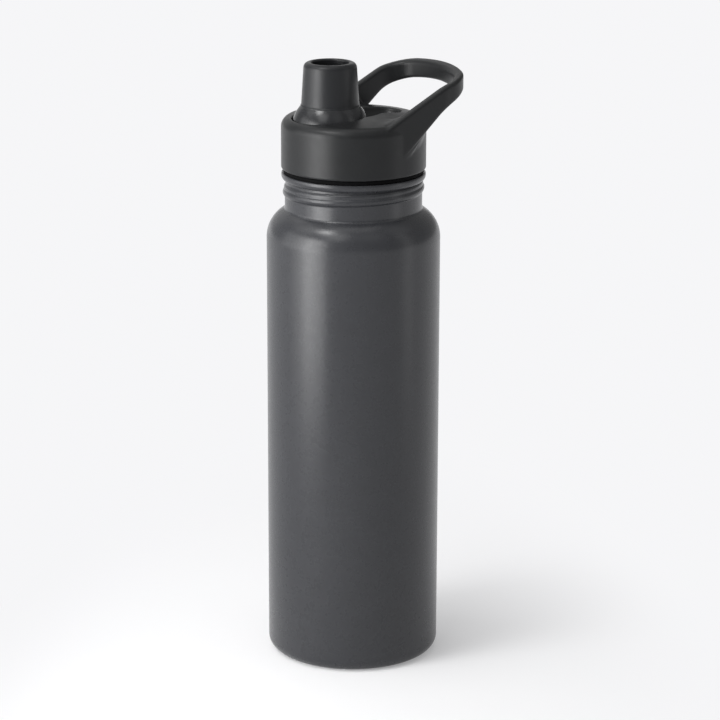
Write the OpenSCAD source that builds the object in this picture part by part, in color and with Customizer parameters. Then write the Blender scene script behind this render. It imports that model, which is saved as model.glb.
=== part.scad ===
// Insulated steel drinking bottle with a screw lid, a tilting spout and a carry loop.
// Millimetres. The bottle's axis is Z, the floor is z = 0, the carry loop points to +X
// and the spout stands on the -X side of the lid.

/* [Bottle body] */
// Outside diameter of the straight side
body_d = 73; // [71:0.5:78]
// Height above the floor at which the straight side ends
side_top = 182.4; // [120:0.1:230]
// Radius of the shoulder arc
shoulder_r = 13.5; // [12:0.5:17]
// Radius of the rounded edge round the base
base_corner_r = 5.1; // [3:0.1:7]
// Sheet thickness of the outer shell and its base
shell_t = 0.8; // [0.5:0.1:1.0]
// Sheet thickness of the inner vessel
liner_t = 0.8; // [0.5:0.1:1.2]
// Empty gap between the two walls of the body
vacuum_gap = 2.5; // [1.5:0.1:4]
// Empty gap between the two bottoms
bottom_gap = 6; // [5:0.5:12]
// Height of the weld between the outer shell and its base
shell_seam = 8; // [7.5:0.5:14]
// Height of the weld between the inner vessel and its bottom
liner_seam = 17; // [16:0.5:30]
// Radius of the inner vessel's bottom corner
liner_corner_r = 6; // [3:0.5:6.5]
// Inside diameter of the ring that the bottle stands on
foot_d = 55; // [46:1:60]
// Depth of the hollow inside that ring
base_recess = 1.6; // [1.2:0.1:3]
// Thickness of the cap plate in the hollow
cap_plate_t = 0.8; // [0.4:0.1:1.0]
// Gap round the cap plate
cap_plate_gap = 0.3; // [0.1:0.05:0.6]
// Diameter of the dimple that holds the vacuum seal
dimple_d = 10; // [8:0.5:14]
// Depth of that dimple
dimple_h = 1.6; // [1.2:0.1:2]
// Diameter of the hole that the air is drawn through
evacuation_d = 1.6; // [1:0.1:2.4]
// Diameter of the solder seal over that hole
seal_d = 5; // [4:0.5:6]
// Thickness of the solder seal
seal_t = 1.0; // [0.6:0.1:1.1]
// Diameter of the gas-absorbing pellet
getter_d = 10; // [6:0.5:12]
// Thickness of that pellet
getter_t = 1.6; // [1:0.1:2]
// Sheet thickness of the dish that holds the pellet
getter_dish_t = 0.5; // [0.3:0.1:0.8]
// Distance of the pellet from the bottle's axis
getter_x = 14; // [14:0.5:18]

/* [Neck] */
// Outside diameter of the neck
neck_d = 57.6; // [56:0.1:58]
// Height of the rim above the end of the straight side
rim_h = 27.8; // [26:0.1:36]
// Radius of the hollow corner where the shoulder meets the neck
neck_fillet_r = 1.5; // [0.8:0.1:2.5]
// Diameter over the rolled bead under the rim
bead_d = 60.5; // [59.8:0.1:62]
// Radius of the bead's rounding
bead_r = 2.5; // [2.3:0.1:3]
// Distance of the bead's widest line below the rim
bead_drop = 1; // [0.8:0.1:1.4]
// Thickness of the inner vessel's neck, which carries the thread
neck_t = 1.2; // [1.1:0.05:1.5]
// Gap between the inner vessel's neck and the outer shell
neck_gap = 0.4; // [0.2:0.05:0.7]
// Height of the wide mouth above the neck's bore
mouth_h = 2.1; // [1.9:0.1:2.2]

/* [Thread] */
// Rise of the thread in one turn
pitch = 4.4; // [4.2:0.05:5]
// Depth of the thread groove
groove_depth = 0.8; // [0.7:0.05:0.9]
// Half the width of the groove at its mouth
groove_half = 1.5; // [1.4:0.05:1.6]
// Gap between the plug and the neck's bore
plug_clear = 0.4; // [0.3:0.05:0.5]
// Gap between the plug's thread and the bottom of the groove
crest_clear = 0.3; // [0.25:0.05:0.35]
// Height below the rim of the groove's middle, on the -Y side
thread_drop = 7.06; // [6.6:0.01:7.4]
// Height that the rolled groove stands out from the neck
ridge_h = 0.85; // [0.5:0.05:1]

/* [Lid] */
// Outside diameter of the lid
lid_d = 60.6; // [60.4:0.1:66]
// Height of the lid's crown above its lower edge
lid_h = 23.8; // [23:0.1:25.5]
// Gap between the rim and the lid's lower edge
lid_gap = 1.8; // [1.2:0.1:2.2]
// Thickness of the lid's side wall
lid_wall = 1.7; // [1.2:0.1:2.2]
// Thickness of the lid's roof
roof_t = 2; // [1.6:0.1:2.2]
// Radius of the crown's shallow dome
crown_r = 168; // [110:1:300]
// Radius of the rounded edge round the crown
edge_r = 3.5; // [1.5:0.1:4]
// Radius of the rounding on the lid's lower edge
lower_edge_r = 0.7; // [0.3:0.1:1]
// Height of the gasket's seat above the lid's lower edge
gasket_seat_h = 0.4; // [0.3:0.1:1]
// Gap between the gasket and the walls on both sides of it
gasket_clear = 0.3; // [0.3:0.05:0.6]
// Thickness of the flange that presses on the gasket
flange_t = 1.6; // [1.2:0.1:2.4]
// Wall thickness of the threaded plug
plug_t = 1.6; // [1.2:0.1:1.7]
// Length of the plug below the flange
plug_len = 13; // [12:0.5:18]
// Thickness of the web that closes the plug
web_t = 1.8; // [1.2:0.1:2.4]

/* [Spout] */
// Distance of the spout's axis from the lid's axis
spout_x = 11; // [10.5:0.1:11.2]
// Height of the tilt axis above the lid's lower edge
pivot_h = 16.2; // [16:0.1:17]
// Diameter of the spout's ball
ball_d = 32.8; // [32:0.1:33.2]
// Gap between the ball and the lid round it
socket_clear = 0.5; // [0.4:0.05:0.8]
// Diameter of the mouthpiece where it meets the ball
nozzle_base_d = 24.1; // [23.6:0.1:25]
// Diameter of the mouthpiece at its tip
nozzle_tip_d = 22.2; // [21.8:0.1:23.5]
// Length of the mouthpiece
nozzle_len = 17.8; // [12:0.1:22]
// Radius of the rounded outer edge of the mouthpiece's tip
lip_r = 2.2; // [0.8:0.1:2.4]
// Radius of the rounded inner edge of the mouthpiece's tip
lip_inner_r = 0.8; // [0.4:0.1:1]
// Diameter of the mouthpiece's bore
mouth_d = 15.6; // [15:0.1:16]
// Diameter of the stem that the mouthpiece is pushed over
stem_d = 18.6; // [18:0.1:19.4]
// Length of that stem
stem_len = 11; // [8:0.5:11]
// Diameter of the channel through the stem
channel_d = 14.4; // [12:0.1:14.8]
// Diameter of the port at the bottom of the ball
port_d = 10; // [8:0.1:10.4]
// Radial width of the seat seal
seat_seal_w = 2.4; // [1.8:0.1:2.6]
// Wall thickness of the collar round the seat seal
seat_collar_t = 1.4; // [1:0.1:1.8]
// Gap between the seat seal and the ball
seat_gap = 0.05; // [0.02:0.01:0.1]
// Diameter of the pivot pins
pin_d = 2.8; // [2:0.1:3.2]
// Running clearance of the pins in the ball, on the radius
pin_clear = 0.05; // [0.02:0.01:0.1]
// Depth that each pin reaches into the ball
pin_bite = 4.8; // [3:0.1:5.5]
// Thickness of the two ears that hold the pins
ear_t = 2.4; // [1.8:0.1:2.6]
// Width of those ears
ear_w = 5.6; // [4.6:0.1:6]
// Thickness of the cradle's plate
cradle_t = 2; // [1.4:0.1:2.4]
// Width of the cradle's ring round the seat collar
cradle_ring_w = 3.6; // [2.5:0.1:4]

/* [Nest behind the spout] */
// Angle that the spout tilts back to close
tilt_angle = 40; // [34:1:42]
// Gap between the tilted mouthpiece and its nest
nest_clear = 0.5; // [0.4:0.05:0.8]
// Wall thickness of the nest
nest_t = 1.6; // [1.2:0.1:2]
// Radius of the finger scoop
scoop_r = 7.5; // [6:0.1:8.5]
// Height of the scoop's axis above the lid's lower edge
scoop_h = 25.5; // [25:0.1:27]
// Distance of the scoop's round end from the lid's axis
scoop_x = 14.7; // [12:0.1:16]

/* [Carry loop] */
// Distance of the loop's far face from the lid's axis
loop_reach = 44.5; // [41:0.1:52]
// Width over the loop's two arms at their far ends
loop_w = 58.3; // [54:0.1:59]
// Distance that the arms' outer faces are set in from the lid's side
arm_set = 0.8; // [0.6:0.1:1.4]
// Thickness of the loop's band
band_t = 4; // [3:0.1:5]
// Outside radius of the loop's two corners
loop_corner_r = 16; // [10:0.5:18]
// Outside radius of the loop's bowed end
loop_end_r = 59; // [50:1:120]
// Height of the arms' upper edge above the lid's lower edge, at the lid's axis
arm_top_h = 20.8; // [19:0.1:24]
// Upward slope of that edge next to the lid
arm_top_slope = 29.1; // [24:0.1:32]
// Upward slope of that edge at the loop's end
end_top_slope = 16.7; // [12:0.1:24]
// Distance from the lid's axis at which the upper edge bends
top_bend_x = 27.3; // [22:0.1:34]
// Upward slope of the lower edge next to the lid
arm_low_slope = 44.5; // [40:0.5:52]
// Upward slope of the lower edge at the loop's end
end_low_slope = 23; // [20:0.1:30]
// Distance from the lid's axis at which the lower edge bends
low_bend_x = 28.3; // [24:0.1:31]
// Height of that bend above the lid's lower edge
low_bend_h = 27.5; // [25:0.1:29]
// Radius of the upper edge's bend
top_bend_r = 24; // [8:1:40]
// Radius of the lower edge's bend
low_bend_r = 25; // [8:1:30]

/* [Hidden] */
$fn = 96;
eps = 0.01;        // overlap that keeps joined solids in one piece
far = 400;         // longer than any part of the bottle
thread_step = 5;   // degrees between the rings of a thread

// Bottle
body_r = body_d / 2;
shoulder_x = body_r - shoulder_r;
neck_r = neck_d / 2;
rim_z = side_top + rim_h;
bead_z = rim_z - bead_drop;
bead_x = bead_d / 2 - bead_r;
liner_r = body_r - shell_t - vacuum_gap;
liner_neck_r = neck_r - shell_t - neck_gap;
throat_r = liner_neck_r - neck_t;
mouth_r = throat_r + groove_depth + 0.2;
mouth_z = rim_z - mouth_h;
flare_h = mouth_r - throat_r + 0.2;
liner_floor = base_recess + shell_t + bottom_gap;
foot_r = foot_d / 2;
panel_top = base_recess + shell_t;
dimple_top = base_recess + dimple_h;

// Thread: right-handed, so its height grows with the angle about +Z
ridge_from = -268;
ridge_to = 34;
groove_from = -252;
groove_to = 380;
rib_from = -232;
rib_to = 52;
function thread_z(angle) = rim_z - thread_drop + pitch * (angle + 90) / 360;

// Lid
lid_r = lid_d / 2;
lid_z = rim_z + lid_gap;
flange_z = lid_z + gasket_seat_h;
cavity_r = lid_r - lid_wall;
plug_r = throat_r - plug_clear;
plug_bore_r = plug_r - plug_t;
crown_z = lid_z + lid_h;
edge_x = lid_r - edge_r;
edge_z = crown_z - crown_r + sqrt(pow(crown_r - edge_r, 2) - pow(edge_x, 2));

// Spout
ball_r = ball_d / 2;
pivot = [-spout_x, 0, lid_z + pivot_h];
nozzle_base_r = nozzle_base_d / 2;
crease_h = sqrt(pow(ball_r, 2) - pow(nozzle_base_r, 2));
web_top = pivot[2] - ball_r - 1.2;
seat_floor = web_top - 0.6;
seat_r = port_d / 2 + seat_seal_w;
collar_r = seat_r + seat_collar_t;
ear_y = ball_r + socket_clear;
pin_r = pin_d / 2;

// Carry loop
corner_y = loop_w / 2 - loop_corner_r;
end_x = loop_reach - loop_end_r;
corner_x = end_x + sqrt(pow(loop_end_r - loop_corner_r, 2) - pow(corner_y, 2));
corner_reach = norm([corner_x, corner_y]);
// Direction from the lid's axis of the line where an arm's straight outer face begins
arm_root_r = lid_r - arm_set;
arm_run = sqrt(pow(lid_r - arm_set / 5, 2) - pow(arm_root_r, 2));
arm_angle = atan2(corner_y, corner_x) + acos((arm_root_r - loop_corner_r) / corner_reach);
end_angle = atan2(corner_y, corner_x - end_x);

// ---- shared forms ----

module tube(outer, inner, low, high) {
    translate([0, 0, low])
        difference() {
            cylinder(r = outer, h = high - low);
            translate([0, 0, -1])
                cylinder(r = inner, h = high - low + 2);
        }
}

module slab(x0, x1, z0, z1) {
    translate([x0, z0])
        square([x1 - x0, z1 - z0]);
}

// Half section of a solid flask: straight side, shoulder arc, hollow corner and neck
module flask_section(side_r, neck_side_r, fillet_r, low) {
    arc_r = side_r - shoulder_x;
    fillet_x = neck_side_r + fillet_r;
    fillet_z = side_top + sqrt(pow(arc_r + fillet_r, 2) - pow(fillet_x - shoulder_x, 2));
    touch = [shoulder_x, side_top]
        + [fillet_x - shoulder_x, fillet_z - side_top] * arc_r / (arc_r + fillet_r);
    slab(0, side_r, low, side_top);
    intersection() {
        translate([shoulder_x, side_top])
            circle(r = arc_r);
        slab(0, side_r, side_top - 1, side_top + arc_r);
    }
    slab(0, shoulder_x, low, side_top + arc_r);
    slab(0, neck_side_r, low, rim_z);
    difference() {
        polygon([[0, touch[1]], touch, [fillet_x, fillet_z], [0, fillet_z]]);
        translate([fillet_x, fillet_z])
            circle(r = fillet_r);
    }
}

// Half section of a round plate or cup with a rounded lower corner
module cup_section(outer, corner, low, high) {
    slab(0, outer, low + corner, high);
    slab(0, outer - corner, low, high);
    translate([outer - corner, low + corner])
        intersection() {
            circle(r = corner);
            slab(0, corner, -corner, 0);
        }
}

// A helical rib. Each point of its section is [radius, height from the rib's middle], and
// both ends fade over `lead` degrees towards the radius `root`.
module helix(from, to, section, root, lead) {
    steps = ceil((to - from) / thread_step);
    count = len(section);
    function angle(i) = from + (to - from) * i / steps;
    function size(i) = min(1, 0.12 + min(angle(i) - from, to - angle(i)) / lead);
    rings = [for (i = [0 : steps], p = section)
        let (r = root + (p[0] - root) * size(i))
        [r * cos(angle(i)), r * sin(angle(i)), thread_z(angle(i)) + p[1] * size(i)]];
    sides = [for (i = [0 : steps - 1], k = [0 : count - 1])
        let (n = (k + 1) % count, a = i * count, b = a + count)
        [a + n, b + n, b + k, a + k]];
    near_cap = [for (k = [count - 1 : -1 : 0]) k];
    far_cap = [for (k = [0 : count - 1]) steps * count + k];
    polyhedron(points = rings, faces = concat(sides, [near_cap, far_cap]), convexity = 8);
}

// ---- bottle ----

module bead_section(inset) {
    intersection() {
        translate([bead_x, bead_z])
            circle(r = bead_r - inset);
        slab(0, body_r, 0, rim_z);
    }
}

module outer_shell() {
    sink = 0.3;    // depth of the ridge's root under the neck's side
    // Each point is [share of the ridge's height or -sink, height from the ridge's middle]
    ridge = [[-sink, -2.1], [0.55, -1.05], [0.92, -0.45], [1, 0], [0.92, 0.5],
             [0.55, 1.2], [-sink, 2.3]];
    color("#3f4043")
        union() {
            rotate_extrude()
                difference() {
                    union() {
                        flask_section(body_r, neck_r, neck_fillet_r, shell_seam);
                        bead_section(0);
                    }
                    intersection() {
                        union() {
                            flask_section(body_r - shell_t, neck_r - shell_t,
                                          neck_fillet_r + shell_t, shell_seam - 1);
                            bead_section(shell_t);
                        }
                        slab(0, body_r, 0, rim_z - shell_t);
                    }
                    slab(0, mouth_r + liner_t, mouth_z, rim_z + 1);
                }
            helix(ridge_from, ridge_to,
                  [for (p = ridge) [neck_r + (p[0] > 0 ? p[0] * ridge_h : p[0]), p[1]]],
                  neck_r - sink, 30);
        }
}

module outer_base() {
    color("#3f4043")
        difference() {
            rotate_extrude()
                difference() {
                    cup_section(body_r, base_corner_r, 0, shell_seam);
                    difference() {
                        cup_section(body_r - shell_t, base_corner_r - shell_t, shell_t,
                                    shell_seam + 1);
                        slab(0, foot_r + shell_t, 0, panel_top);
                        slab(0, dimple_d / 2 + shell_t, 0, dimple_top + shell_t);
                    }
                    slab(0, foot_r, -1, base_recess);
                    slab(0, dimple_d / 2, -1, dimple_top);
                }
            cylinder(d = evacuation_d, h = shell_seam);
        }
}

module inner_vessel() {
    color("#b9bbbd")
        difference() {
            rotate_extrude()
                difference() {
                    union() {
                        flask_section(liner_r, liner_neck_r, neck_fillet_r, liner_seam);
                        slab(0, mouth_r + liner_t, mouth_z, rim_z);
                        polygon([[0, mouth_z - flare_h], [liner_neck_r, mouth_z - flare_h],
                                 [mouth_r + liner_t, mouth_z], [0, mouth_z]]);
                    }
                    flask_section(liner_r - liner_t, throat_r, neck_fillet_r + neck_t,
                                  liner_seam - 1);
                    slab(0, mouth_r, mouth_z, rim_z + 1);
                    polygon([[0, mouth_z - flare_h], [throat_r, mouth_z - flare_h],
                             [mouth_r, mouth_z], [0, mouth_z]]);
                }
            helix(groove_from, groove_to,
                  [[throat_r - 0.3, -groove_half - 0.2],
                   [throat_r + groove_depth, 0.6 - groove_half],
                   [throat_r + groove_depth, groove_half - 0.6],
                   [throat_r - 0.3, groove_half + 0.2]],
                  throat_r - 0.3, 20);
        }
}

module inner_bottom() {
    color("#b9bbbd")
        rotate_extrude()
            difference() {
                cup_section(liner_r, liner_corner_r, liner_floor, liner_seam);
                cup_section(liner_r - liner_t, liner_corner_r - liner_t,
                            liner_floor + liner_t, liner_seam + 1);
            }
}

module vacuum_seal() {
    color("#8d8f92")
        union() {
            translate([0, 0, dimple_top - seal_t])
                cylinder(d = seal_d, h = seal_t);
            translate([0, 0, dimple_top - eps])
                cylinder(d = evacuation_d, h = shell_t + eps);
        }
}

module getter_dish() {
    outer = getter_d / 2 + getter_dish_t;
    color("#a7a9ab")
        translate([getter_x, 0, panel_top])
            difference() {
                cylinder(r = outer, h = getter_dish_t + getter_t * 0.6);
                translate([0, 0, getter_dish_t])
                    cylinder(d = getter_d, h = getter_t);
            }
}

module getter() {
    color("#5f6266")
        translate([getter_x, 0, panel_top + getter_dish_t])
            cylinder(d = getter_d, h = getter_t);
}

module base_cap() {
    color("#3f4043")
        translate([0, 0, base_recess - cap_plate_t])
            cylinder(r = foot_r - cap_plate_gap, h = cap_plate_t);
}

// ---- lid ----

// Half section of the lid's domed outside
module crown_section() {
    low_x = lid_r - lower_edge_r;
    low_z = lid_z + lower_edge_r;
    ray = [edge_x, edge_z - crown_z + crown_r] / (crown_r - edge_r);
    slab(0, low_x, lid_z, edge_z);
    slab(0, lid_r, low_z, edge_z);
    translate([low_x, low_z])
        intersection() {
            circle(r = lower_edge_r);
            slab(0, lower_edge_r, -lower_edge_r, 0);
        }
    intersection() {
        translate([edge_x, edge_z])
            circle(r = edge_r);
        polygon([[edge_x, edge_z], [lid_r + 1, edge_z], [lid_r + 1, crown_z + 1],
                 [edge_x, edge_z] + 20 * ray]);
    }
    intersection() {
        translate([0, crown_z - crown_r])
            circle(r = crown_r);
        polygon([[0, low_z], [edge_x, low_z], [edge_x, edge_z],
                 [edge_x, edge_z] + 20 * ray, [0, crown_z + 20]]);
    }
}

// Half section of the space inside the lid, grown by `grow` into its walls
module cavity_section(grow) {
    intersection() {
        slab(0, cavity_r + grow, lid_z - 1, crown_z);
        translate([0, crown_z - crown_r])
            circle(r = crown_r - roof_t + grow);
    }
}

// The space that the tilted mouthpiece and the finger scoop take, grown by `wall`
module nest(wall) {
    translate(pivot)
        rotate([0, tilt_angle, 0])
            cylinder(r = nozzle_base_r + nest_clear + wall, h = crease_h + nozzle_len);
    translate([-spout_x, 0, lid_z + scoop_h])
        rotate([0, 90, 0])
            cylinder(r = scoop_r + wall, h = scoop_x + spout_x);
    translate([scoop_x, 0, lid_z + scoop_h])
        sphere(r = scoop_r + wall);
}

// Points on the bend between two straight edges that meet at `corner`. The first edge
// arrives at angle a, the second leaves at angle b, and `side` is -1 where it bends down.
function bend(corner, a, b, radius) =
    let (side = sign(b - a),
         run = radius * tan(abs(b - a) / 2),
         start = corner - run * [cos(a), sin(a)],
         centre = start + side * radius * [-sin(a), cos(a)])
    [for (i = [0 : 6])
        let (t = a + (b - a) * i / 6)
        centre + side * radius * [sin(t), -cos(t)]];

// Side view of the carry loop, as [x, height above the lid's lower edge]
module loop_side() {
    root_x = -10;
    past = loop_reach + 1;
    top_bend = [top_bend_x, arm_top_h + top_bend_x * tan(arm_top_slope)];
    low_bend = [low_bend_x, low_bend_h];
    foot = [low_bend_x - low_bend_h / tan(arm_low_slope) * 0.75, low_bend_h * 0.25];
    polygon(concat(
        [[root_x, arm_top_h + root_x * tan(arm_top_slope)]],
        bend(top_bend, arm_top_slope, end_top_slope, top_bend_r),
        [[past, top_bend[1] + (past - top_bend[0]) * tan(end_top_slope)],
         [past, low_bend[1] + (past - low_bend[0]) * tan(end_low_slope)]],
        bend(low_bend, end_low_slope + 180, arm_low_slope + 180, low_bend_r),
        [foot, [root_x, foot[1]]]));
}

// Top view of the carry loop's outside, drawn in by `inset`
module loop_plan(inset) {
    arm = [cos(arm_angle), sin(arm_angle)];
    corner = [corner_x, corner_y];
    side_r = loop_corner_r - inset;
    // Where the corner's arc meets the arm and the bowed end
    near = corner + side_r * arm;
    past = corner + side_r * [cos(end_angle), sin(end_angle)];
    root = (arm_root_r - inset) * arm - arm_run * [arm[1], -arm[0]];
    half = [[-arm_run, 0], root, near, past];
    polygon(concat(half, [for (i = [3 : -1 : 1]) [half[i][0], -half[i][1]]]));
    for (side = [0, 1])
        mirror([0, side])
            intersection() {
                translate(corner)
                    circle(r = side_r);
                polygon([[0, 0], 10 * near, 10 * (near + past), 10 * past]);
            }
    intersection() {
        translate([end_x, 0])
            circle(r = loop_end_r - inset);
        polygon([[0, 0], 10 * past, [10 * past[0], -10 * past[1]]]);
    }
}

module carry_loop() {
    intersection() {
        translate([0, lid_r + 1, lid_z])
            rotate([90, 0, 0])
                linear_extrude(height = 2 * lid_r + 2)
                    loop_side();
        translate([0, 0, lid_z])
            linear_extrude(height = 60)
                difference() {
                    loop_plan(0);
                    loop_plan(band_t);
                }
    }
}

module lid_shell() {
    color("#2b2c2e")
        difference() {
            union() {
                difference() {
                    union() {
                        rotate_extrude()
                            crown_section();
                        carry_loop();
                    }
                    rotate_extrude()
                        cavity_section(0);
                }
                intersection() {
                    nest(nest_t);
                    rotate_extrude()
                        cavity_section(min(roof_t, lid_wall) / 2);
                }
            }
            translate(pivot)
                sphere(r = ball_r + socket_clear);
            nest(0);
        }
}

module lid_base() {
    color("#353638")
        difference() {
            union() {
                tube(plug_r, plug_bore_r, flange_z - plug_len, flange_z + flange_t);
                tube(cavity_r, plug_r - eps, flange_z, flange_z + flange_t);
                translate([0, 0, web_top - web_t])
                    cylinder(r = plug_bore_r + eps, h = web_t);
                translate([-spout_x, 0, web_top - web_t])
                    cylinder(r = collar_r, h = 6);
                helix(rib_from, rib_to,
                      [[plug_r - 0.4, -groove_half + 0.05],
                       [throat_r + groove_depth - crest_clear, 0.95 - groove_half],
                       [throat_r + groove_depth - crest_clear, groove_half - 0.95],
                       [plug_r - 0.4, groove_half - 0.05]],
                      plug_r - 0.4, 25);
            }
            translate(pivot)
                sphere(r = ball_r + socket_clear);
            translate([-spout_x, 0, web_top - web_t - 1])
                cylinder(d = port_d, h = 10);
            translate([-spout_x, 0, seat_floor])
                cylinder(r = seat_r, h = 10);
        }
}

module lid_gasket() {
    color("#141415")
        tube(cavity_r - gasket_clear, plug_r + gasket_clear, rim_z, flange_z);
}

module ball_cradle() {
    difference() {
        color("#353638")
            union() {
                translate([-spout_x, 0, web_top])
                    cylinder(r = collar_r + cradle_ring_w, h = cradle_t);
                translate([-spout_x - ear_w / 2, -ear_y - ear_t, web_top])
                    cube([ear_w, 2 * (ear_y + ear_t), cradle_t]);
                for (side = [-1, 1])
                    translate([-spout_x, side * (ear_y + ear_t / 2), 0]) {
                        translate([-ear_w / 2, -ear_t / 2, web_top])
                            cube([ear_w, ear_t, pivot[2] - web_top]);
                        translate([0, ear_t / 2, pivot[2]])
                            rotate([90, 0, 0])
                                cylinder(d = ear_w, h = ear_t);
                    }
            }
        translate([-spout_x, 0, web_top - 1])
            cylinder(r = collar_r, h = cradle_t + 2);
        translate(pivot)
            sphere(r = ball_r + socket_clear - eps);
        translate([-spout_x, ear_y + ear_t + 1, pivot[2]])
            rotate([90, 0, 0])
                cylinder(r = pin_r, h = 2 * (ear_y + ear_t + 1));
    }
}

module seat_seal() {
    color("#1b1b1c")
        difference() {
            translate([-spout_x, 0, 0])
                tube(seat_r, port_d / 2, seat_floor, web_top + 5);
            translate(pivot)
                sphere(r = ball_r + seat_gap);
        }
}

module pivot_pins() {
    color("#c4c6c8")
        for (side = [-1, 1])
            translate([-spout_x, side * (ball_r - pin_bite), pivot[2]])
                rotate([-90 * side, 0, 0])
                    cylinder(r = pin_r, h = pin_bite + socket_clear + ear_t);
}

// ---- spout ----

module spout_ball() {
    taper_top = pivot[2] - 5;
    taper_bottom = pivot[2] - 12;
    color("#2b2c2e")
        difference() {
            union() {
                intersection() {
                    translate(pivot)
                        sphere(r = ball_r);
                    translate([-spout_x, 0, pivot[2] - ball_r - 1])
                        cylinder(r = ball_r + 1, h = ball_r + 1 + crease_h);
                }
                translate([-spout_x, 0, pivot[2]])
                    cylinder(d = stem_d, h = crease_h + stem_len);
            }
            translate([-spout_x, 0, taper_top])
                cylinder(d = channel_d, h = far);
            translate([-spout_x, 0, taper_bottom])
                cylinder(d1 = port_d, d2 = channel_d, h = taper_top - taper_bottom);
            translate([-spout_x, 0, taper_bottom - ball_r])
                cylinder(d = port_d, h = ball_r + eps);
            for (side = [-1, 1])
                translate([-spout_x, side * (ball_r - pin_bite - 0.3), pivot[2]])
                    rotate([-90 * side, 0, 0])
                        cylinder(r = pin_r + pin_clear, h = pin_bite + 2);
        }
}

module mouthpiece() {
    tip_r = nozzle_tip_d / 2;
    tip = crease_h + nozzle_len;
    mouth_edge = mouth_d / 2 + lip_inner_r;
    color("#2e2f31")
        translate(pivot)
            rotate_extrude()
                difference() {
                    union() {
                        polygon([[0, crease_h], [nozzle_base_r, crease_h],
                                 [tip_r, tip - lip_r], [0, tip - lip_r]]);
                        slab(0, tip_r - lip_r, tip - lip_r, tip);
                        translate([tip_r - lip_r, tip - lip_r])
                            circle(r = lip_r);
                    }
                    slab(0, stem_d / 2, 0, crease_h + stem_len);
                    slab(0, mouth_d / 2, 0, tip + 1);
                    difference() {
                        slab(0, mouth_edge, tip - lip_inner_r, tip + 1);
                        translate([mouth_edge, tip - lip_inner_r])
                            circle(r = lip_inner_r);
                    }
                }
}

outer_shell();
outer_base();
inner_vessel();
inner_bottom();
vacuum_seal();
getter();
getter_dish();
base_cap();
lid_shell();
lid_base();
lid_gasket();
ball_cradle();
seat_seal();
pivot_pins();
spout_ball();
mouthpiece();
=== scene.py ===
import bpy, math
import numpy as np
from mathutils import Matrix, Vector


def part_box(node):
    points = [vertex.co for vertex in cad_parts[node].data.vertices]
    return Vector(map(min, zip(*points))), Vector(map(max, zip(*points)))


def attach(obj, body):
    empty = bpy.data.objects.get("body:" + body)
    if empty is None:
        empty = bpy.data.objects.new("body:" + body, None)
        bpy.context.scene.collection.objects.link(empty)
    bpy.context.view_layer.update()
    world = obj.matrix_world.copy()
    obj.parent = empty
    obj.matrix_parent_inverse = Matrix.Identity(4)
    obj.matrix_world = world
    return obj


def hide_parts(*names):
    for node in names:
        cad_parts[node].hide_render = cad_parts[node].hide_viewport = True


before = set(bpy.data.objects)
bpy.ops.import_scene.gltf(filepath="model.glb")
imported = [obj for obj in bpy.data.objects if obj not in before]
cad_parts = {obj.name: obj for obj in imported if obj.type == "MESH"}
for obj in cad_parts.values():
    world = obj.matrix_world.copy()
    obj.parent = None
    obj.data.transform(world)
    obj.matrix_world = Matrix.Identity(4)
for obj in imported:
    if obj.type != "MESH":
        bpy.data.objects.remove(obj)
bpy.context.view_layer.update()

# ---------------------------------------------------------------- camera
AIM = math.radians(28)        # how far the camera stands round from the loop's plane
PITCH = math.radians(15.73)
ROLL = math.radians(0.154)
CAMERA_BACK = 1.184           # metres from the bottle's axis to the camera
CAMERA_SIDE = 0.0029
CAMERA_UP = 0.4616
LENS = 144.41                 # mm, before film 36 mm wide
right = Vector((math.cos(AIM), -math.sin(AIM), 0))
away = Vector((math.sin(AIM), math.cos(AIM), 0))
up = Vector((0, 0, 1))
spot = -CAMERA_BACK * away + CAMERA_SIDE * right + CAMERA_UP * up
look = away * math.cos(PITCH) - up * math.sin(PITCH)
lift = up * math.cos(PITCH) + away * math.sin(PITCH)
cam_x = right * math.cos(ROLL) + lift * math.sin(ROLL)
cam_y = lift * math.cos(ROLL) - right * math.sin(ROLL)
camera = bpy.data.objects.new("camera", bpy.data.cameras.new("camera"))
bpy.context.scene.collection.objects.link(camera)
turned = Matrix((cam_x, cam_y, -look)).transposed().to_4x4()
camera.matrix_world = Matrix.Translation(spot) @ turned
camera.data.lens = LENS
camera.data.clip_end = 50
bpy.context.scene.camera = camera

# ---------------------------------------------------------------- sizes, in mm, in the CAD's frame
BODY_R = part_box("outer_shell")[1].x * 1000
RIM_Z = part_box("outer_shell")[1].z * 1000
SEAM_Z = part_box("outer_base")[1].z * 1000
LID_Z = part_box("lid_shell")[0].z * 1000
LID_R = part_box("lid_shell")[1].y * 1000
LOOP_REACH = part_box("lid_shell")[1].x * 1000
SHELL_T = 0.8

# ---------------------------------------------------------------- mesh building
MM = 0.001
SHARP_FROM = math.radians(38)


def piece(name, verts, faces, body, replaced):
    """A mesh piece from points in mm and faces of four points. A triangle repeats its last one."""
    verts = np.asarray(verts, float) * MM
    faces = np.asarray(faces, np.int32)
    tri = faces[:, 2] == faces[:, 3]
    counts = np.where(tri, 3, 4).astype(np.int32)
    keep = np.ones(faces.shape, bool)
    keep[tri, 3] = False
    mesh = bpy.data.meshes.new(name)
    mesh.vertices.add(len(verts))
    mesh.vertices.foreach_set("co", verts.astype(np.float32).ravel())
    loops = faces[keep]
    mesh.loops.add(len(loops))
    mesh.loops.foreach_set("vertex_index", loops)
    mesh.polygons.add(len(faces))
    starts = np.concatenate([[0], np.cumsum(counts)[:-1]]).astype(np.int32)
    mesh.polygons.foreach_set("loop_start", starts)
    mesh.update(calc_edges=True)
    mesh.validate()
    mesh.shade_smooth()
    mesh.set_sharp_from_angle(angle=SHARP_FROM)
    obj = bpy.data.objects.new(name, mesh)
    bpy.context.scene.collection.objects.link(obj)
    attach(obj, body)
    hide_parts(*replaced)
    return obj


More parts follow.
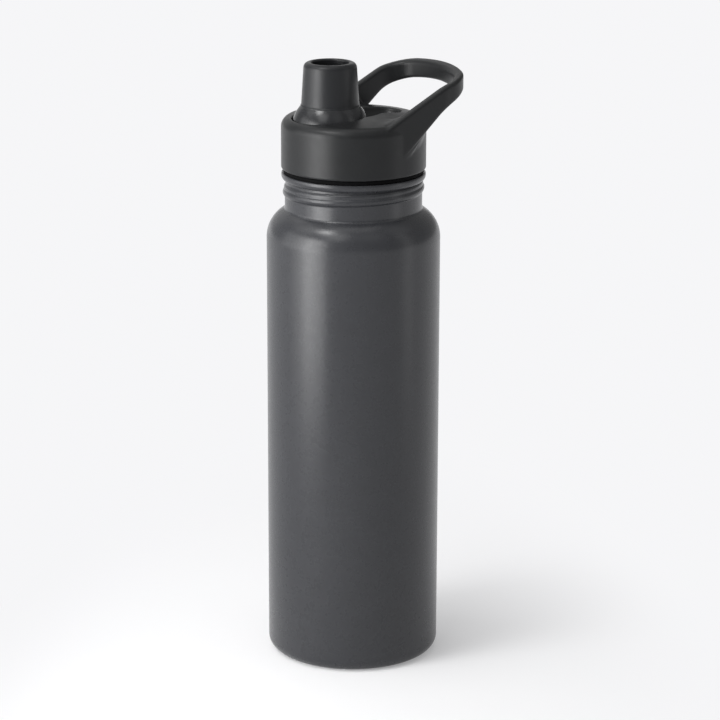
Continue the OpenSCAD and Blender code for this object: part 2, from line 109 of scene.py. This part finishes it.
def arc(cx, cz, radius, start, end, count):
    """Points on an arc, angles in degrees."""
    a = np.radians(np.linspace(start, end, count))
    return np.stack([cx + radius * np.cos(a), cz + radius * np.sin(a)], 1)


def line(a, b, count):
    """`count` points evenly from a to b."""
    return np.linspace(a, b, count)


def profile(*parts):
    """Joins pieces of a profile and drops repeated points."""
    pts = np.vstack([np.atleast_2d(p) for p in parts])
    keep = np.concatenate([[True], np.hypot(*np.diff(pts, axis=0).T) > 1e-4])
    return pts[keep]


def lathe(section, steps, push=None):
    """Turns a closed section of points [r, z] about the Z axis. `push(angle, r, z)` gives
    a new r."""
    angle = np.arange(steps) * 2 * np.pi / steps
    r = np.repeat(section[None, :, 0], steps, 0)
    z = np.repeat(section[None, :, 1], steps, 0)
    if push is not None:
        r = push(np.repeat(angle[:, None], len(section), 1), r, z)
    verts = np.stack([r * np.cos(angle)[:, None], r * np.sin(angle)[:, None], z], -1)
    count = len(section)
    index = np.arange(steps * count).reshape(steps, count)
    nxt = np.roll(index, -1, 0)
    faces = np.stack([index, nxt, np.roll(nxt, -1, 1), np.roll(index, -1, 1)], -1)
    return verts.reshape(-1, 3), faces.reshape(-1, 4)


# ---------------------------------------------------------------- bottle body
BODY_STEPS = 384
SIDE_TOP = 182.4
SHOULDER_R = 13.5
SHOULDER_X = BODY_R - SHOULDER_R
NECK_R = 28.8
NECK_FILLET = 1.5
BEAD_R = 2.5
BEAD_X = 30.25 - BEAD_R
BEAD_Z = RIM_Z - 1
MOUTH_R = 27.4
MOUTH_Z = RIM_Z - 2.1
RIM_ROUND = 0.35
PITCH_OF_THREAD = 4.4
THREAD_START = -268           # degrees round, where the ridge begins and ends
THREAD_END = 34
THREAD_FADE = 30
THREAD_DROP = 7.06            # from the rim down to the ridge, at -90 degrees
RIDGE_H = 0.87
RIDGE_BELOW = 1.78            # half widths of the ridge below and above its crest
RIDGE_ABOVE = 1.72
SECOND_H = 0.34
SECOND_UP = 2.0
SECOND_HALF = 1.5
NECKING = 0.45                # how much thinner the neck is above the ridges
NECK_TOP = RIM_Z - 2.8        # the thread keeps below this


def flask(side_r, neck_r, fillet, low, neck_top):
    """The outline of a flask from its open lower end up to the neck."""
    arc_r = side_r - SHOULDER_X
    fx = neck_r + fillet
    fz = SIDE_TOP + math.sqrt((arc_r + fillet) ** 2 - (fx - SHOULDER_X) ** 2)
    turn = math.degrees(math.atan2(fz - SIDE_TOP, fx - SHOULDER_X))
    return profile(
        line((side_r, low), (side_r, SIDE_TOP), 24),
        arc(SHOULDER_X, SIDE_TOP, arc_r, 0, turn, 40),
        arc(fx, fz, fillet, turn + 180, 180, 14),
        line((neck_r, fz), (neck_r, neck_top), 56),
    )


def soft_max(a, b, k):
    return np.maximum(a, b) + np.maximum(k - np.abs(a - b), 0) ** 2 / (4 * k)


def soft_min(a, b, k):
    return np.minimum(a, b) - np.maximum(k - np.abs(a - b), 0) ** 2 / (4 * k)


def ridge_push(angle, r, z):
    """The rolled thread on the neck: a main ridge, a low second one and a slight necking above."""
    degrees = np.degrees(angle)
    degrees = np.where(degrees > 360 + THREAD_START, degrees - 360, degrees)
    fade = np.clip(np.minimum(degrees - THREAD_START, THREAD_END - degrees) / THREAD_FADE, 0, 1)
    fade = fade * fade * (3 - 2 * fade)
    d = z - (RIM_Z - THREAD_DROP + PITCH_OF_THREAD * (degrees + 90) / 360)
    main = RIDGE_H * (1 - np.abs(d / np.where(d < 0, RIDGE_BELOW, RIDGE_ABOVE)) ** 2.0)
    second = SECOND_H * (1 - ((d - SECOND_UP) / SECOND_HALF) ** 2)
    above = -NECKING * np.clip((d - 1.6) / 1.7, 0, 1) ** 1.5
    height = soft_max(soft_max(main, second, 0.16), np.zeros_like(d), 0.22)
    height = height + above * (1 - np.clip(height / 0.3, 0, 1))
    on_neck = (np.abs(r - NECK_R) < 0.01) & (z < NECK_TOP)
    return np.where(on_neck, r + height * fade, r)


bead_foot = math.degrees(math.asin((NECK_R - BEAD_X) / BEAD_R))
bead_cut = math.degrees(math.asin((RIM_Z - BEAD_Z) / BEAD_R))
bead_end = BEAD_X + BEAD_R * math.cos(math.radians(bead_cut))
crease_z = BEAD_Z - BEAD_R * math.cos(math.radians(bead_foot))
outside = profile(
    flask(BODY_R, NECK_R, NECK_FILLET, SEAM_Z, crease_z),
    arc(BEAD_X, BEAD_Z, BEAD_R, bead_foot - 90, bead_cut - 6, 26),
    arc(bead_end - RIM_ROUND, RIM_Z - RIM_ROUND, RIM_ROUND, 30, 90, 6),
    line((MOUTH_R + SHELL_T, RIM_Z), (MOUTH_R + SHELL_T, MOUTH_Z), 3),
)
inside = flask(BODY_R - SHELL_T, NECK_R - SHELL_T, NECK_FILLET + SHELL_T, SEAM_Z, MOUTH_Z - 0.2)
# Nobody sees the inside of this wall, so every fifth point is enough
inside = np.vstack([inside[:-1:5], inside[-1:]])[::-1]
verts, faces = lathe(profile(outside, inside), BODY_STEPS, push=ridge_push)
shell = piece("outer_shell_skin", verts, faces, "bottle", ["outer_shell"])

# The base with its rounded edge, standing ring, dimple and the hole in the dimple
FOOT_R = 27.5
RECESS = 1.6
DIMPLE_R = 5
DIMPLE_TOP = 3.2
CORNER_R = 5.1
RING_ROUND = 0.5
HOLE_R = 0.8
base_section = profile(
    line((BODY_R, SEAM_Z), (BODY_R, CORNER_R), 3)[:-1],
    arc(BODY_R - CORNER_R, CORNER_R, CORNER_R, 0, -90, 22),
    arc(FOOT_R + RING_ROUND, RING_ROUND, RING_ROUND, -90, -180, 6),
    [(FOOT_R, RECESS), (DIMPLE_R, RECESS), (DIMPLE_R, DIMPLE_TOP), (HOLE_R, DIMPLE_TOP)],
    [(HOLE_R, DIMPLE_TOP + SHELL_T), (DIMPLE_R + SHELL_T, DIMPLE_TOP + SHELL_T)],
    [(DIMPLE_R + SHELL_T, RECESS + SHELL_T)],
    [(FOOT_R + SHELL_T, RECESS + SHELL_T), (FOOT_R + SHELL_T, SHELL_T)],
    arc(BODY_R - CORNER_R, CORNER_R, CORNER_R - SHELL_T, -90, 0, 12),
    [(BODY_R - SHELL_T, SEAM_Z)],
)
verts, faces = lathe(base_section[::-1], BODY_STEPS)
base = piece("outer_base_skin", verts, faces, "bottle", ["outer_base"])

# ---------------------------------------------------------------- spout
SPOUT_STEPS = 192
PIVOT = np.array([-11, 0, LID_Z + 16.2])
BALL_R = 16.4
NOZZLE_BASE_R = 12.05
NOZZLE_TIP_R = 11.1
NOZZLE_LEN = 17.8
BORE_R = 7.8
LIP_R = 2.2
LIP_INNER = 0.8
CREASE_H = math.sqrt(BALL_R ** 2 - NOZZLE_BASE_R ** 2)
STEM_R = 9.3
STEM_LEN = 11
CHANNEL_R = 7.2
PORT_R = 5
TIP = CREASE_H + NOZZLE_LEN
taper = math.degrees(math.atan2(NOZZLE_BASE_R - NOZZLE_TIP_R, NOZZLE_LEN - LIP_R))
FLARE = 0.35                 # the mouthpiece's foot spreads this far onto the ball
foot = (NOZZLE_BASE_R + FLARE, math.sqrt(BALL_R ** 2 - (NOZZLE_BASE_R + FLARE) ** 2) + 0.02)
mouthpiece_section = profile(
    [(STEM_R, CREASE_H), (NOZZLE_BASE_R - 0.1, CREASE_H), foot],
    arc(NOZZLE_BASE_R + 1.0, CREASE_H + 0.75, 1.0, 222, 183, 6),
    line((NOZZLE_BASE_R - 0.05, CREASE_H + 1.0),
         (NOZZLE_TIP_R + 0.02, TIP - LIP_R - 0.2), 16),
    arc(NOZZLE_TIP_R - LIP_R, TIP - LIP_R, LIP_R, taper, 90, 20),
    arc(BORE_R + LIP_INNER, TIP - LIP_INNER, LIP_INNER, 90, 180, 10),
    line((BORE_R, TIP - LIP_INNER - 0.1), (BORE_R, CREASE_H + STEM_LEN), 6),
    [(STEM_R, CREASE_H + STEM_LEN)],
)
verts, faces = lathe(mouthpiece_section, SPOUT_STEPS)
mouthpiece = piece("mouthpiece_skin", verts + PIVOT, faces, "spout",
                   ["mouthpiece"])

TAPER_TOP = -5                # where the channel narrows to the port
TAPER_BOTTOM = -12
port_z = -math.sqrt(BALL_R ** 2 - PORT_R ** 2)
port_angle = math.degrees(math.atan2(port_z, PORT_R))
crease_angle = math.degrees(math.asin(CREASE_H / BALL_R))
ball_section = profile(
    arc(0, 0, BALL_R, port_angle, crease_angle, 72),
    [(STEM_R, CREASE_H), (STEM_R, CREASE_H + STEM_LEN), (CHANNEL_R, CREASE_H + STEM_LEN)],
    line((CHANNEL_R, CREASE_H), (CHANNEL_R, TAPER_TOP), 3),
    line((PORT_R, TAPER_BOTTOM), (PORT_R, port_z + 0.01), 3),
)
verts, faces = lathe(ball_section, SPOUT_STEPS)
ball = piece("spout_ball_skin", verts + PIVOT, faces, "spout", ["spout_ball"])

# ---------------------------------------------------------------- gasket, its lip partly painted shade
# Its outer lip reaches past the solid one's edge and closes the gap over the rim. The lip is a
# guessed form: partly a real gasket, partly a near-black sheet standing in as painted shade for
# the gap under the lid's overhang.
GASKET_IN = 26.3
GASKET_OUT = 28.3
GASKET_SHADE_LIP_R = 29.35
LIP_FOOT_ROUND = 0.4
LIP_TOP_ROUND = 0.3
LIP_TOP = LID_Z - 0.15
GASKET_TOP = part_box("lid_gasket")[1].z * 1000
gasket_section = profile(
    [(GASKET_IN, RIM_Z)],
    arc(GASKET_SHADE_LIP_R - LIP_FOOT_ROUND, RIM_Z + LIP_FOOT_ROUND, LIP_FOOT_ROUND, -90, 0, 5),
    arc(GASKET_SHADE_LIP_R - LIP_TOP_ROUND, LIP_TOP - LIP_TOP_ROUND, LIP_TOP_ROUND, 0, 90, 5),
    [(GASKET_OUT, LIP_TOP), (GASKET_OUT, GASKET_TOP), (GASKET_IN, GASKET_TOP)],
)
verts, faces = lathe(gasket_section, SPOUT_STEPS)
gasket = piece("gasket_skin", verts, faces, "gasket", ["lid_gasket"])

# ---------------------------------------------------------------- lid and carry loop, one skin
# Each form below is a field: a number that is negative inside it and, near its surface, the
# distance from it in mm.
CROWN_Z = LID_Z + 23.8
CROWN_R = 168
EDGE_R = 3.5
FOOT_EDGE = 0.7
CAVITY_R = LID_R - 1.7
ROOF_T = 2
SOCKET_R = BALL_R + 0.5
NEST_R = NOZZLE_BASE_R + 0.5
NEST_T = 1.6
NEST_ROUND = 0.7
SOCKET_ROUND = 0.45
NEST_TILT = math.radians(40)
SCOOP_R = 7.5
SCOOP_Z = LID_Z + 25.5
SCOOP_X = 14.7
SCOOP_BLEND = 1.2
BAND_T = 4
BAND_ROUND = 1.35
BAND_FROM = -5                # the loop's arms start this far along X
LOOP_CORNER_R = 16
LOOP_END_R = 59
LOOP_W = 58.3
ARM_R = LID_R - 0.8
CORNER_Y = LOOP_W / 2 - LOOP_CORNER_R
END_X = LOOP_REACH - LOOP_END_R
CORNER_X = END_X + math.sqrt((LOOP_END_R - LOOP_CORNER_R) ** 2 - CORNER_Y ** 2)
ARM_ANGLE = (math.atan2(CORNER_Y, CORNER_X)
             + math.acos((ARM_R - LOOP_CORNER_R) / math.hypot(CORNER_X, CORNER_Y)))
END_ANGLE = math.atan2(CORNER_Y, CORNER_X - END_X)
JOIN = 8                      # how widely the loop's arms blend into the lid
JOIN_WINDOW = 0.85            # how much of that is taken away over the lid's top
JOIN_FOOT = 0.15              # and how much is left at the arms' feet
JOIN_LEAST = 0.02
LID_FOOT_ROUND = 0.3
NEST_INTO_WALL = 0.85         # how far the nest's walls run into the lid's own
GRID = 0.45                   # the lid skin's grid
ARM_FOOT = LID_Z + 1.5
# The loop's upper and lower edges: the bend's x and z, the slopes before and after it, its radius
TOP_BEND = (27.3, LID_Z + 20.8 + 27.3 * math.tan(math.radians(29.1)), 29.1, 16.7, 24)
LOW_BEND = (28.3, LID_Z + 27.5, 44.5, 23, 25)


def round_max(a, b, r):
    """Common part of two solids, with its edge rounded."""
    return np.minimum(np.maximum(a, b), -r) + np.hypot(np.maximum(a + r, 0), np.maximum(b + r, 0))


def step_up(v, low, high):
    """0 below `low`, 1 above `high`, smooth between."""
    t = np.clip((v - low) / (high - low), 0, 1)
    return t * t * (3 - 2 * t)


def bent_edge(x, x0, z0, slope_a, slope_b, radius):
    """An edge of slope_a up to (x0, z0) and slope_b past it, joined by an arc.
    Gives its height and the cosine of its slope at x."""
    a, b = math.radians(slope_a), math.radians(slope_b)
    run = radius * math.tan(abs(b - a) / 2)
    side = 1 if b > a else -1
    start = x0 - run * math.cos(a)
    end = x0 + run * math.cos(b)
    cx = start - side * radius * math.sin(a)
    cz = z0 - run * math.sin(a) + side * radius * math.cos(a)
    inside_arc = np.clip(x, start, end)
    t = np.clip((inside_arc - cx) / radius, -1, 1)
    z = np.where(x < start, z0 + (x - x0) * math.tan(a), z0 + (x - x0) * math.tan(b))
    z = np.where((x >= start) & (x <= end), cz - side * radius * np.sqrt(1 - t * t), z)
    return z, np.sqrt(1 - t * t)


def lid_block(x, y, z):
    """The lid without the loop and without its hollow."""
    rad = np.hypot(x, y)
    crown = np.hypot(rad, z - CROWN_Z + CROWN_R) - CROWN_R
    return round_max(round_max(rad - LID_R, crown, EDGE_R), LID_Z - z, FOOT_EDGE)


def carry_loop(x, y, z):
    """The loop: two straight arms, two corners and a wide end, cut from above by its two edges."""
    ay = np.abs(y)
    px, py = x - CORNER_X, ay - CORNER_Y
    turn = np.arctan2(py, px)
    arm_x, arm_y = math.cos(ARM_ANGLE), math.sin(ARM_ANGLE)
    d = np.where(turn > ARM_ANGLE, x * arm_x + ay * arm_y - ARM_R,
                 np.where(turn < END_ANGLE, np.hypot(x - END_X, ay) - LOOP_END_R,
                          np.hypot(px, py) - LOOP_CORNER_R))
    plan = np.abs(d + BAND_T / 2) - BAND_T / 2
    top, top_cos = bent_edge(x, *TOP_BEND)
    low, low_cos = bent_edge(x, *LOW_BEND)
    low = np.maximum(low, ARM_FOOT)
    side = np.maximum((z - top) * top_cos, (low - z) * low_cos)
    side = np.maximum(side, BAND_FROM - x)
    return round_max(plan, side, BAND_ROUND)


def grad(field, x, y, z, h=0.02):
    """A field's value and its slope along each axis."""
    f = field(x, y, z)
    return f, [(field(x + h, y, z) - f) / h,
               (field(x, y + h, z) - f) / h,
               (field(x, y, z + h) - f) / h]


def nest(x, y, z):
    """Distance from the space that the tilted mouthpiece and the finger scoop take."""
    qx, qz = x - PIVOT[0], z - PIVOT[2]
    along = qx * math.sin(NEST_TILT) + qz * math.cos(NEST_TILT)
    across = qx * math.cos(NEST_TILT) - qz * math.sin(NEST_TILT)
    tube = np.maximum(np.hypot(across, y) - NEST_R, np.maximum(-along, along - TIP))
    past = np.maximum(x - SCOOP_X, 0)
    scoop = np.maximum(np.sqrt(past ** 2 + y ** 2 + (z - SCOOP_Z) ** 2) - SCOOP_R, PIVOT[0] - x)
    return soft_min(tube, scoop, SCOOP_BLEND)


def lid_skin(x, y, z):
    """The lid shell. It blends with the loop where the two surfaces meet at an angle."""
    a, ga = grad(lid_block, x, y, z)
    b, gb = grad(carry_loop, x, y, z)
    facing = sum(p * q for p, q in zip(ga, gb))
    window = step_up(x, 12, 18) * step_up(z, LID_Z + 18.5, LID_Z + 21.5)
    k = JOIN * np.clip(1 - facing, 0, 2) * step_up(x, BAND_FROM, 7) * (1 - JOIN_WINDOW * window)
    k = k * (JOIN_FOOT + (1 - JOIN_FOOT) * step_up(z, LID_Z + 4, LID_Z + 15)) + JOIN_LEAST
    joined = soft_min(a, b, k)
    rad = np.hypot(x, y)
    dome = np.hypot(rad, z - CROWN_Z + CROWN_R) - CROWN_R
    cavity = np.maximum(rad - CAVITY_R, dome + ROOF_T)
    hollow = round_max(joined, -cavity, LID_FOOT_ROUND)
    space = nest(x, y, z)
    walls = np.maximum(space - NEST_T, cavity - NEST_INTO_WALL)
    solid = np.minimum(hollow, walls)
    ball_room = np.sqrt((x - PIVOT[0]) ** 2 + y ** 2 + (z - PIVOT[2]) ** 2) - SOCKET_R
    solid = round_max(solid, -ball_room, SOCKET_ROUND)
    return round_max(solid, -space, NEST_ROUND)


def skin(field, low, high, step, settle=8, relax=3):
    """The surface round `field` < 0 as quads. There is a point in each grid cell that the surface
    crosses, moved onto the surface by Newton steps and then evened out along it."""
    axes = [np.arange(lo - 1.5 * step, hi + 2.5 * step, step) for lo, hi in zip(low, high)]
    shape = [len(a) for a in axes]
    values = np.empty(shape)
    slab = 12
    for i in range(0, shape[0], slab):
        values[i:i + slab] = field(*np.meshgrid(axes[0][i:i + slab], axes[1], axes[2],
                                                indexing="ij"))
    inside = values < 0
    total = np.zeros([n - 1 for n in shape] + [3])
    crossings = np.zeros([n - 1 for n in shape])
    for axis in range(3):
        a = [slice(None)] * 3
        b = [slice(None)] * 3
        a[axis], b[axis] = slice(0, -1), slice(1, None)
        va, vb = values[tuple(a)], values[tuple(b)]
        cut = inside[tuple(a)] != inside[tuple(b)]
        t = np.where(cut, va / np.where(cut, va - vb, 1), 0)
        others = [k for k in range(3) if k != axis]
        for da in (0, 1):
            for db in (0, 1):
                sl = [slice(None)] * 3
                for k, dk in zip(others, (da, db)):
                    sl[k] = slice(dk, shape[k] - 1 + dk)
                c = cut[tuple(sl)]
                crossings += c
                total[..., axis] += np.where(c, t[tuple(sl)], 0)
                total[..., others[0]] += c * da
                total[..., others[1]] += c * db
    cells = crossings > 0
    number = np.full(cells.shape, -1)
    number[cells] = np.arange(cells.sum())
    place = np.argwhere(cells)
    corners = np.stack([axes[k][place[:, k]] for k in range(3)], 1)
    verts = corners + step * total[cells] / crossings[cells][:, None]
    faces = []
    for axis in range(3):
        u, v = (axis + 1) % 3, (axis + 2) % 3
        a = [slice(1, -1)] * 3
        b = [slice(1, -1)] * 3
        a[axis], b[axis] = slice(0, -1), slice(1, None)
        cut = np.argwhere(inside[tuple(a)] != inside[tuple(b)])
        cut[:, u] += 1
        cut[:, v] += 1
        starts_inside = inside[tuple(cut.T)]
        ring = []
        for du, dv in ((-1, -1), (0, -1), (0, 0), (-1, 0)):
            c = cut.copy()
            c[:, u] += du
            c[:, v] += dv
            ring.append(number[tuple(c.T)])
        ring = np.stack(ring, 1)
        ring[~starts_inside] = ring[~starts_inside][:, ::-1]
        faces.append(ring)
    faces = np.vstack(faces)
    edges = np.vstack([faces[:, [0, 1]], faces[:, [1, 2]], faces[:, [2, 3]], faces[:, [3, 0]]])

    def land(points, rounds):
        for _ in range(rounds):
            f, g = grad(field, *points.T, h=0.01)
            g = np.stack(g, 1)
            move = -f[:, None] * g / np.maximum((g * g).sum(1), 0.2)[:, None]
            size = np.linalg.norm(move, axis=1)[:, None]
            points = points + move * np.minimum(1, 0.4 * step / np.maximum(size, 1e-9))
        return points, g

    verts, g = land(verts, settle)
    for _ in range(relax):
        middle = np.zeros_like(verts)
        count = np.bincount(edges[:, 0], minlength=len(verts))
        for k in range(3):
            total = np.bincount(edges[:, 0], verts[edges[:, 1], k], minlength=len(verts))
            middle[:, k] = total / count
        n = g / np.linalg.norm(g, axis=1)[:, None]
        shift = middle - verts
        shift -= n * (shift * n).sum(1)[:, None]
        verts, g = land(verts + 0.5 * shift, 3)
    return verts, faces


box_low = [1000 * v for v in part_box("lid_shell")[0]]
box_high = [1000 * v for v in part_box("lid_shell")[1]]
verts, faces = skin(lid_skin, box_low, box_high, GRID)
verts = np.clip(verts, box_low, box_high)
lid = piece("lid_skin", verts, faces, "lid", ["lid_shell"])

# ---------------------------------------------------------------- materials
NOISE_LOW = 0.3               # most of a noise lies between these
NOISE_HIGH = 0.7


class Nodes:
    """A few short words for building node materials."""

    def __init__(self, name):
        self.material = bpy.data.materials.new(name)
        self.material.use_nodes = True
        self.tree = self.material.node_tree
        self.shader = self.tree.nodes["Principled BSDF"]
        self.place = self.add("ShaderNodeTexCoord").outputs["Object"]

    def add(self, kind, inputs=None, **settings):
        node = self.tree.nodes.new(kind)
        for key, value in settings.items():
            setattr(node, key, value)
        for key, value in (inputs or {}).items():
            if isinstance(value, bpy.types.NodeSocket):
                self.tree.links.new(value, node.inputs[key])
            else:
                node.inputs[key].default_value = value
        return node

    def noise(self, size, detail, rough, stretch):
        """Noise whose features are about `size` mm across."""
        place = self.place
        if stretch is not None:
            mapping = self.add("ShaderNodeMapping", {"Vector": place, "Scale": stretch})
            place = mapping.outputs["Vector"]
        texture = self.add("ShaderNodeTexNoise", {"Vector": place, "Scale": 1000 / size,
                                                  "Detail": detail, "Roughness": rough})
        return texture.outputs["Fac"]

    def spread(self, fac, low, high):
        """Turns noise round 0.5 into a number from `low` to `high`."""
        remap = self.add("ShaderNodeMapRange", {"Value": fac, "To Min": low, "To Max": high,
                                                "From Min": NOISE_LOW, "From Max": NOISE_HIGH})
        return remap.outputs["Result"]

    def tint(self, fac, dark, light):
        """Turns noise round 0.5 into a colour from `dark` to `light`."""
        ramp = self.add("ShaderNodeValToRGB", {"Fac": fac})
        low_end, high_end = ramp.color_ramp.elements
        low_end.position, high_end.position = NOISE_LOW, NOISE_HIGH
        low_end.color, high_end.color = (*dark, 1), (*light, 1)
        return ramp.outputs["Color"]

    def bump(self, height, distance):
        """A normal that rises by `distance` mm with `height`."""
        inputs = {"Height": height, "Distance": distance * MM, "Strength": 1.0}
        return self.add("ShaderNodeBump", inputs).outputs["Normal"]

    def link(self, output, name):
        self.tree.links.new(output, self.shader.inputs[name])


def linear(*rgb):
    """Linear colour from display values of 0 to 255."""
    return tuple(c / 255 / 12.92 if c <= 10 else ((c / 255 + 0.055) / 1.055) ** 2.4 for c in rgb)


def finish(name, colour, vary, rough, rough_vary, grain, grain_height, metallic=0.0, mottle=9.0,
           stretch=None, specular=0.5):
    """A material with slow colour and gloss variation and a fine grain. Sizes are in mm."""
    n = Nodes(name)
    base = linear(*colour)
    slow = n.noise(mottle, 3, 0.6, stretch)
    dark = [c * (1 - vary) for c in base]
    light = [c * (1 + vary) for c in base]
    n.link(n.tint(slow, dark, light), "Base Color")
    quicker = n.noise(mottle * 0.4, 3, 0.6, stretch)
    n.link(n.spread(quicker, rough - rough_vary, rough + rough_vary), "Roughness")
    n.link(n.bump(n.noise(grain, 2, 0.55, stretch), grain_height), "Normal")
    n.shader.inputs["Metallic"].default_value = metallic
    n.shader.inputs["Specular IOR Level"].default_value = specular
    return n.material


BODY_TONE = (45, 46, 49)
LID_TONE = (25, 26, 27)
MOUTH_TONE = (26, 27, 29)
BALL_TONE = (28, 29, 31)
coated = finish("powder_coat", BODY_TONE, 0.05, 0.28, 0.02, 0.55, 0.004, specular=0.4)
moulded = finish("moulded_plastic", LID_TONE, 0.05, 0.37, 0.03, 0.4, 0.004, specular=0.25)
polished = finish("moulded_ball", BALL_TONE, 0.05, 0.25, 0.02, 0.4, 0.002, specular=0.4)
soft_tip = finish("mouthpiece_plastic", MOUTH_TONE, 0.05, 0.38, 0.03, 0.4, 0.004, specular=0.3)
inner = finish("inner_plastic", (53, 54, 56), 0.05, 0.42, 0.04, 0.5, 0.008)
# The rubber is set near black, darker than its own tone and with little gloss, so the gap under
# the lid renders black: painted shade on top of the rubber's colour.
rubber_and_gap_shade = finish("seal_rubber", (5, 5, 6), 0.08, 0.8, 0.05, 0.3, 0.010, specular=0.08)
brushed = finish("brushed_steel", (186, 188, 190), 0.04, 0.30, 0.06, 0.35, 0.004, metallic=1.0,
                 mottle=4.0, stretch=(0.12, 0.12, 3.0))
pin = finish("pin_steel", (200, 202, 204), 0.03, 0.22, 0.04, 0.3, 0.002, metallic=1.0, mottle=3.0)
solder = finish("solder", (150, 152, 156), 0.10, 0.42, 0.10, 1.1, 0.05, metallic=1.0, mottle=1.6)
sintered = finish("getter_metal", (98, 101, 105), 0.18, 0.70, 0.08, 0.25, 0.06, metallic=0.6,
                  mottle=0.8)
for obj, material in [(shell, coated), (base, coated), (mouthpiece, soft_tip), (ball, polished),
                      (gasket, rubber_and_gap_shade), (lid, moulded)]:
    obj.data.materials.append(material)
CARRIED = {
    "inner_vessel": brushed, "inner_bottom": brushed, "vacuum_seal": solder, "getter": sintered,
    "getter_dish": brushed, "base_cap": coated, "lid_base": inner, "ball_cradle": inner,
    "seat_seal": rubber_and_gap_shade, "pivot_pins": pin,
}
for name, material in CARRIED.items():
    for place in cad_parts[name].material_slots:
        place.material = material

# ---------------------------------------------------------------- floor
SIDE = 16
corners = [(-SIDE, -SIDE, 0), (SIDE, -SIDE, 0), (SIDE, SIDE, 0), (-SIDE, SIDE, 0)]
floor_mesh = bpy.data.meshes.new("floor")
floor_mesh.from_pydata(corners, [], [(0, 1, 2, 3)])
floor = bpy.data.objects.new("floor", floor_mesh)
bpy.context.scene.collection.objects.link(floor)

# The lamps light the paper round the bottle and in front of it. Further off it keeps one even
# tone. The lit part is an ellipse, NARROW times shorter across, its middle FORWARD metres
# in front of the bottle's axis.
PAPER = (0.83, 0.83, 0.835, 1)
BACKDROP = (0.921, 0.921, 0.935, 1)
NARROW = 3.0
FORWARD = 0.25
LIT_TO = 0.24                 # the even tone sets in from here
EVEN_FROM = 0.56
EVEN_LEAST = 0.28             # its share where the lamps count most
paper = Nodes("floor_paper")
across = paper.add("ShaderNodeVectorMath", {0: paper.place, 1: NARROW * right},
                   operation="DOT_PRODUCT")
along = paper.add("ShaderNodeVectorMath", {0: paper.place, 1: away}, operation="DOT_PRODUCT")
behind = paper.add("ShaderNodeMath", {0: along.outputs["Value"], 1: FORWARD}, operation="ADD")
offset = paper.add("ShaderNodeCombineXYZ", {"X": across.outputs["Value"], "Y": behind.outputs[0]})
reach = paper.add("ShaderNodeVectorMath", {0: offset.outputs[0]}, operation="LENGTH")
fade = paper.add("ShaderNodeMapRange",
                 {"Value": reach.outputs["Value"], "From Min": LIT_TO, "From Max": EVEN_FROM,
                  "To Min": EVEN_LEAST, "To Max": 1.0}, interpolation_type="SMOOTHSTEP")
lit = paper.add("ShaderNodeBsdfDiffuse", {"Color": PAPER})
glow = paper.add("ShaderNodeEmission", {"Color": BACKDROP, "Strength": 1.0})
blend = paper.add("ShaderNodeMixShader",
                  {0: fade.outputs["Result"], 1: lit.outputs[0], 2: glow.outputs[0]})
surface = paper.tree.nodes["Material Output"].inputs["Surface"]
paper.tree.links.new(blend.outputs[0], surface)
paper.tree.nodes.remove(paper.shader)
floor_mesh.materials.append(paper.material)

# ---------------------------------------------------------------- lights
# The world's light is dim and grey. The camera sees the floor's even tone instead.
world = bpy.data.worlds.new("world")
bpy.context.scene.world = world
world.use_nodes = True
sky = world.node_tree
dim = sky.nodes["Background"]
dim.inputs["Color"].default_value = (0.93, 0.93, 0.93, 1)
dim.inputs["Strength"].default_value = 0.36
seen = sky.nodes.new("ShaderNodeBackground")
seen.inputs["Color"].default_value = BACKDROP
path = sky.nodes.new("ShaderNodeLightPath")
either = sky.nodes.new("ShaderNodeMixShader")
sky.links.new(path.outputs["Is Camera Ray"], either.inputs[0])
sky.links.new(dim.outputs[0], either.inputs[1])
sky.links.new(seen.outputs[0], either.inputs[2])
sky.links.new(either.outputs[0], sky.nodes["World Output"].inputs["Surface"])
bpy.context.scene.view_settings.view_transform = "Standard"


def softbox(name, azimuth, distance, middle, width, height, aim_z, power):
    """A soft lamp with its middle `middle` metres up, turned to the bottle's axis at height
    aim_z. Its azimuth counts from the camera's side and grows to the right."""
    a = math.radians(azimuth)
    place = distance * (right * math.sin(a) - away * math.cos(a)) + middle * up
    lamp = bpy.data.lights.new(name, "AREA")
    lamp.shape = "RECTANGLE"
    lamp.size, lamp.size_y = width, height
    lamp.energy = power
    obj = bpy.data.objects.new(name, lamp)
    bpy.context.scene.collection.objects.link(obj)
    obj.location = place
    obj.rotation_euler = (aim_z * up - place).to_track_quat("-Z", "Y").to_euler()
    obj.visible_camera = False


# Name, azimuth, distance, height of the middle, width, height, height aimed at, watts
for lamp_row in [
    ("near_left_front", -45, 0.5, 0.24, 0.135, 0.48, 0.24, 1.1),
    ("near_left", -60, 0.5, 0.24, 0.135, 0.48, 0.24, 1.5),
    ("near_left_back", -75, 0.5, 0.24, 0.135, 0.48, 0.24, 0.4),
    ("near_right", 75, 0.5, 0.30, 0.135, 0.6, 0.30, 0.2),
    ("far_left", -90, 1.3, 0.45, 0.66, 0.9, 0.3, 3.0),
    ("far_left_front", -60, 1.3, 0.45, 0.66, 0.9, 0.3, 2.4),
    ("far_back_left", -150, 1.3, 0.45, 0.66, 0.9, 0.3, 0.6),
    ("far_back", 180, 1.3, 0.45, 0.66, 0.9, 0.3, 0.94),
    ("high_front_left", -30, 0.8, 1.1, 0.5, 0.5, 0.13, 2.0),
    ("high_left_front", -60, 0.7, 1.35, 0.28, 0.28, 0.13, 5.0),
    ("high_left", -90, 0.8, 1.1, 0.5, 0.5, 0.13, 1.2),
    ("high_left_back", -120, 0.8, 1.1, 0.5, 0.5, 0.13, 0.4),
    ("high_back_left", -150, 0.8, 1.1, 0.5, 0.5, 0.13, 0.69),
    ("high_right", 90, 0.8, 1.1, 0.5, 0.5, 0.13, 0.3),
    ("high_right_front", 30, 0.8, 1.1, 0.5, 0.5, 0.13, 0.35),
    ("overhead", 180, 0.02, 1.2, 0.7, 0.7, 0.0, 1.51),
]:
    softbox(*lamp_row)
